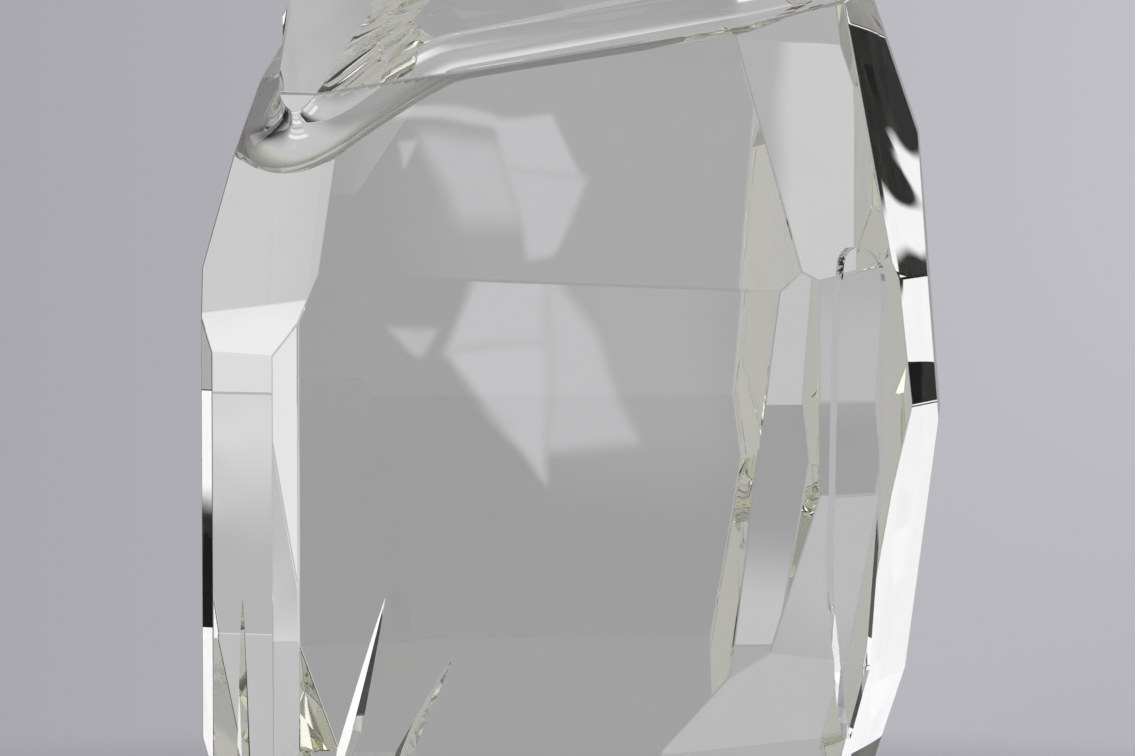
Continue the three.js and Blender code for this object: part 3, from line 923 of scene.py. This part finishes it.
def panel_group():
    """Lays a soft-edged panel over a backdrop, by azimuth and elevation in degrees."""
    group = bpy.data.node_groups.new("panel", "ShaderNodeTree")
    face = group.interface
    for name in ("Backdrop", "Azimuth", "Elevation", *PANEL_SOCKETS):
        face.new_socket(name, in_out="INPUT", socket_type="NodeSocketFloat")
    face.new_socket("Backdrop", in_out="OUTPUT", socket_type="NodeSocketFloat")
    nodes, links = group.nodes, group.links
    source = nodes.new("NodeGroupInput").outputs
    sink = nodes.new("NodeGroupOutput")

    def inside(off, half):
        edge = nodes.new("ShaderNodeMapRange")
        edge.interpolation_type = "SMOOTHSTEP"
        room = work(group, "SUBTRACT", half, work(group, "ABSOLUTE", off))
        links.new(room, edge.inputs["Value"])
        links.new(work(group, "MULTIPLY", source["Soft"], -1), edge.inputs["From Min"])
        links.new(source["Soft"], edge.inputs["From Max"])
        return edge.outputs["Result"]

    across = work(group, "SUBTRACT", source["Azimuth"], source["Across"])
    across = work(group, "WRAP", across, HALF_TURN, -HALF_TURN)
    up = work(group, "SUBTRACT", source["Elevation"], source["Up"])
    leaned = work(group, "SUBTRACT", across, work(group, "MULTIPLY", source["Tilt"], up))
    half = work(group, "MULTIPLY_ADD", source["Flare"], up, source["Half width"])
    mask = work(group, "MULTIPLY", inside(leaned, half), inside(up, source["Half height"]))
    change = work(group, "SUBTRACT", source["Shade"], source["Backdrop"])
    laid = work(group, "MULTIPLY_ADD", mask, change, source["Backdrop"])
    links.new(laid, sink.inputs["Backdrop"])
    return group


def make_studio(stage):
    """World: plain for the camera, with panels and lamps for what the glass bends and mirrors."""
    world = bpy.data.worlds.new("studio")
    bpy.context.scene.world = world
    world.use_nodes = True
    tree = world.node_tree
    nodes, links = tree.nodes, tree.links
    nodes.clear()
    output = nodes.new("ShaderNodeOutputWorld")
    sky = nodes.new("ShaderNodeTexCoord")
    turn = nodes.new("ShaderNodeVectorRotate")
    turn.rotation_type = "Z_AXIS"
    turn.inputs["Angle"].default_value = -CAMERA_AZIMUTH
    parts = nodes.new("ShaderNodeSeparateXYZ")
    links.new(sky.outputs["Generated"], turn.inputs["Vector"])
    links.new(turn.outputs["Vector"], parts.inputs["Vector"])
    across = work(tree, "ARCTAN2", parts.outputs["X"], parts.outputs["Y"])
    across = work(tree, "DEGREES", across)
    up = work(tree, "DEGREES", work(tree, "ARCSINE", parts.outputs["Z"]))
    group = panel_group()

    def laid(stops, panels):
        shade = shade_ramp(tree, across, stops)
        for values in panels:
            panel = nodes.new("ShaderNodeGroup")
            panel.node_tree = group
            links.new(shade, panel.inputs["Backdrop"])
            links.new(across, panel.inputs["Azimuth"])
            links.new(up, panel.inputs["Elevation"])
            for name, value in zip(PANEL_SOCKETS, values):
                panel.inputs[name].default_value = value
            shade = panel.outputs["Backdrop"]
        return shade

    path = nodes.new("ShaderNodeLightPath")
    plain = nodes.new("ShaderNodeMixRGB")
    links.new(path.outputs["Is Camera Ray"], plain.inputs["Fac"])
    links.new(tinted(tree, laid(ROOM, PANELS), stage.light), plain.inputs["Color1"])
    links.new(tinted(tree, laid(SWEEP, SWEEP_FALL), stage.sweep), plain.inputs["Color2"])
    soft = nodes.new("ShaderNodeMixRGB")
    links.new(path.outputs["Is Diffuse Ray"], soft.inputs["Fac"])
    links.new(plain.outputs["Color"], soft.inputs["Color1"])
    soft.inputs["Color2"].default_value = (1, 1, 1, 1)
    back = nodes.new("ShaderNodeBackground")
    links.new(soft.outputs["Color"], back.inputs["Color"])
    links.new(back.outputs["Background"], output.inputs["Surface"])


def shade_ramp(tree, across, stops):
    """A grey that changes with azimuth through the given stops."""
    share = tree.nodes.new("ShaderNodeMapRange")
    share.inputs["From Min"].default_value = -HALF_TURN
    share.inputs["From Max"].default_value = HALF_TURN
    tree.links.new(across, share.inputs["Value"])
    curve = tree.nodes.new("ShaderNodeFloatCurve")
    points = curve.mapping.curves[0].points
    while len(points) < len(stops):
        points.new(0.5, 0.5)
    for point, (angle, shade) in zip(points, stops):
        point.location = ((angle + HALF_TURN) / (2 * HALF_TURN), shade)
        point.handle_type = "VECTOR"
    curve.mapping.update()
    tree.links.new(share.outputs["Result"], curve.inputs["Value"])
    return curve.outputs["Value"]


def tinted(tree, shade, tint):
    """A grey in the colour of the light."""
    colour = tree.nodes.new("ShaderNodeMixRGB")
    colour.blend_type = "MULTIPLY"
    colour.inputs["Fac"].default_value = 1.0
    tree.links.new(shade, colour.inputs["Color1"])
    colour.inputs["Color2"].default_value = (*tint, 1)
    return colour.outputs["Color"]


def make_camera(scene):
    """The photograph's viewpoint."""
    data = bpy.data.cameras.new("camera")
    data.sensor_width = SENSOR
    data.lens = SENSOR * CAMERA_DISTANCE * PIXELS_PER_MM / MM / IMAGE_WIDTH
    camera = bpy.data.objects.new("camera", data)
    scene.collection.objects.link(camera)
    back = heading(CAMERA_AZIMUTH, CAMERA_HEIGHT)
    camera.location = AIM + back * CAMERA_DISTANCE
    camera.rotation_euler = back.to_track_quat("Z", "Y").to_euler()
    scene.camera = camera


class OWL_PT_sidebar(Panel):
    """Lists the owl's pieces and sizes"""

    bl_idname = "OWL_PT_sidebar"
    bl_label = "Crystal owl"
    bl_space_type = "VIEW_3D"
    bl_region_type = "UI"
    bl_category = "Owl"

    def draw(self, context):
        layout = self.layout
        for operator in OPERATORS:
            layout.operator(operator.bl_idname)
        for group_name in GROUPS:
            group = getattr(context.scene, group_name)
            box = layout.box()
            for name in group.bl_rna.properties.keys():
                if name not in {"rna_type", "name"}:
                    box.prop(group, name)


GROUPS = {"owl_cutting": OwlCutting, "owl_crystal": OwlCrystal, "owl_stage": OwlStage}
OPERATORS = (OWL_OT_torso, OWL_OT_head, OWL_OT_bonded, OWL_OT_eyes, OWL_OT_stage)


def register():
    for name, group in GROUPS.items():
        bpy.utils.register_class(group)
        setattr(bpy.types.Scene, name, PointerProperty(type=group))
    for operator in OPERATORS:
        bpy.utils.register_class(operator)
    bpy.utils.register_class(OWL_PT_sidebar)


def unregister():
    bpy.utils.unregister_class(OWL_PT_sidebar)
    for operator in reversed(OPERATORS):
        bpy.utils.unregister_class(operator)
    for name, group in GROUPS.items():
        delattr(bpy.types.Scene, name)
        bpy.utils.unregister_class(group)


def main():
    register()
    bpy.ops.owl.torso()
    bpy.ops.owl.head()
    bpy.ops.owl.bonded()
    bpy.ops.owl.eyes()
    bpy.ops.owl.stage()


if __name__ == "__main__":
    main()
